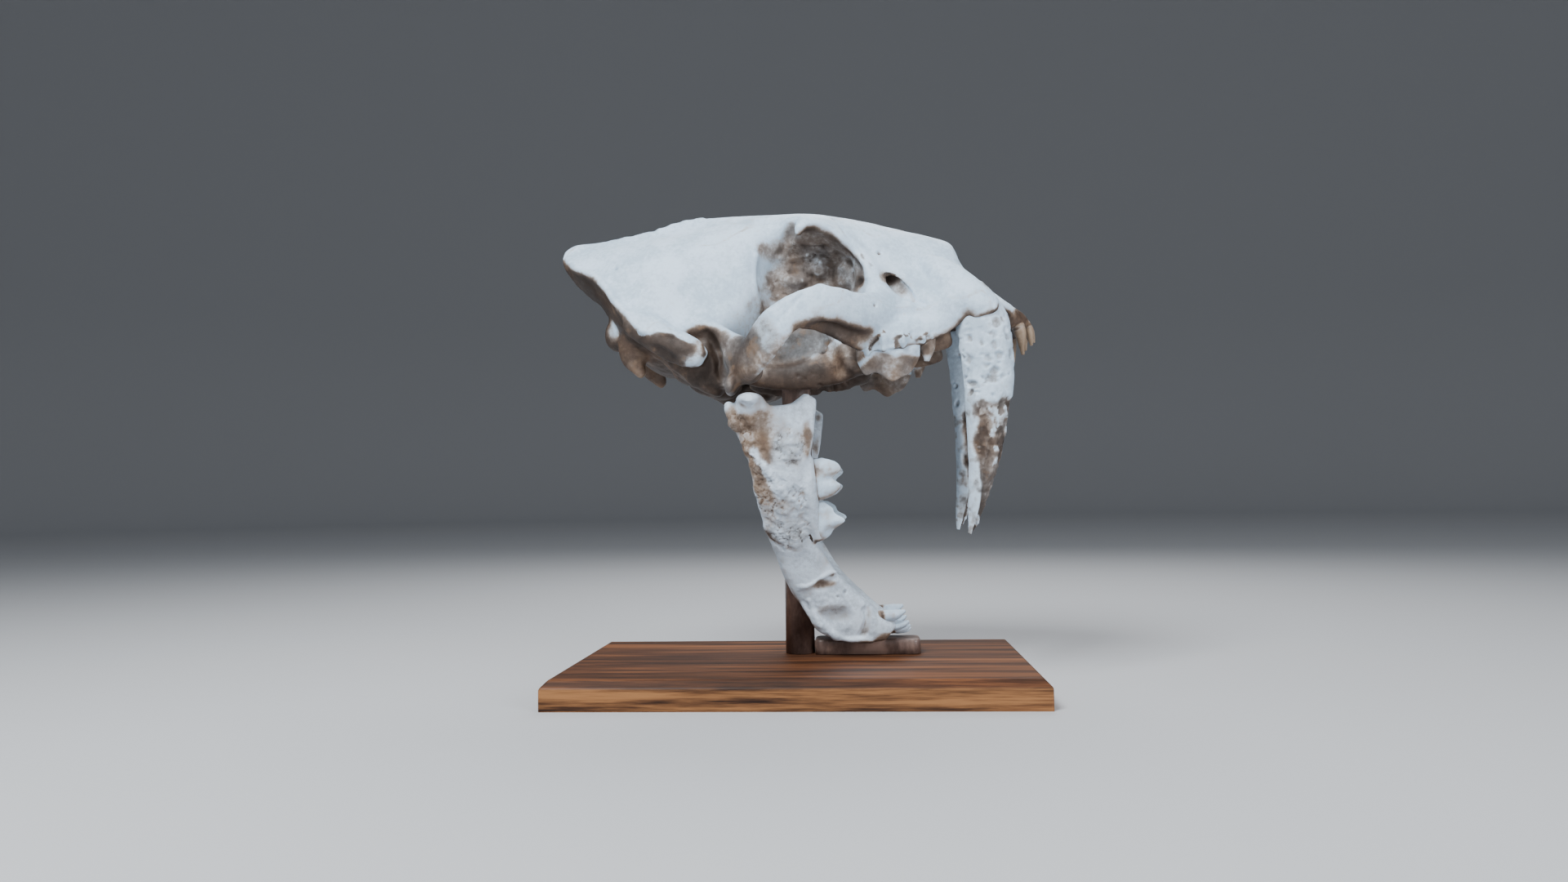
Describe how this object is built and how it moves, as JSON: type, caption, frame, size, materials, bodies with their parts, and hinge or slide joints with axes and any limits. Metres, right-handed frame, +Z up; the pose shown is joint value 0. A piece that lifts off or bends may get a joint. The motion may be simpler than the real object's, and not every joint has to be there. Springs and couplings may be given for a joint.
{
  "type": "mounted sabre-toothed cat skull",
  "caption": "Pale skull with long curved upper canines and a wide open lower jaw, held on a post over a rectangular brown wooden base.",
  "frame": {"origin": "centre of the overall box, at the height of the surface the base stands on", "axes": "+X towards the nose, +Y to the animal's left side, +Z up"},
  "size_m": [0.3216, 0.2047, 0.3176],
  "materials": {
    "bone": "matte, brown in the hollows",
    "upper_tooth": "pitted, slightly worn",
    "lower_tooth": "slightly worn",
    "incisor": "stained brown",
    "base_wood": "striped, varnished",
    "dark_wood": "dark, glossy"
  },
  "bodies": {
    "root": {"cranium": "bone", "dentary_right": "bone", "dentary_left": "bone", "upper_canine_right": "upper_tooth", "upper_premolar_right": "upper_tooth", "upper_carnassial_right": "upper_tooth", "upper_incisor_1_right": "incisor", "upper_incisor_2_right": "incisor", "upper_incisor_3_right": "incisor", "lower_incisor_1_right": "lower_tooth", "lower_incisor_2_right": "lower_tooth", "lower_incisor_3_right": "lower_tooth", "lower_canine_right": "lower_tooth", "lower_premolar_right": "lower_tooth", "lower_carnassial_right": "lower_tooth", "upper_canine_left": "upper_tooth", "upper_premolar_left": "upper_tooth", "upper_carnassial_left": "upper_tooth", "upper_incisor_1_left": "incisor", "upper_incisor_2_left": "incisor", "upper_incisor_3_left": "incisor", "lower_incisor_1_left": "lower_tooth", "lower_incisor_2_left": "lower_tooth", "lower_incisor_3_left": "lower_tooth", "lower_canine_left": "lower_tooth", "lower_premolar_left": "lower_tooth", "lower_carnassial_left": "lower_tooth", "support_post": "dark_wood", "chin_block": "dark_wood", "base_board": "base_wood"}
  },
  "joints": []
}
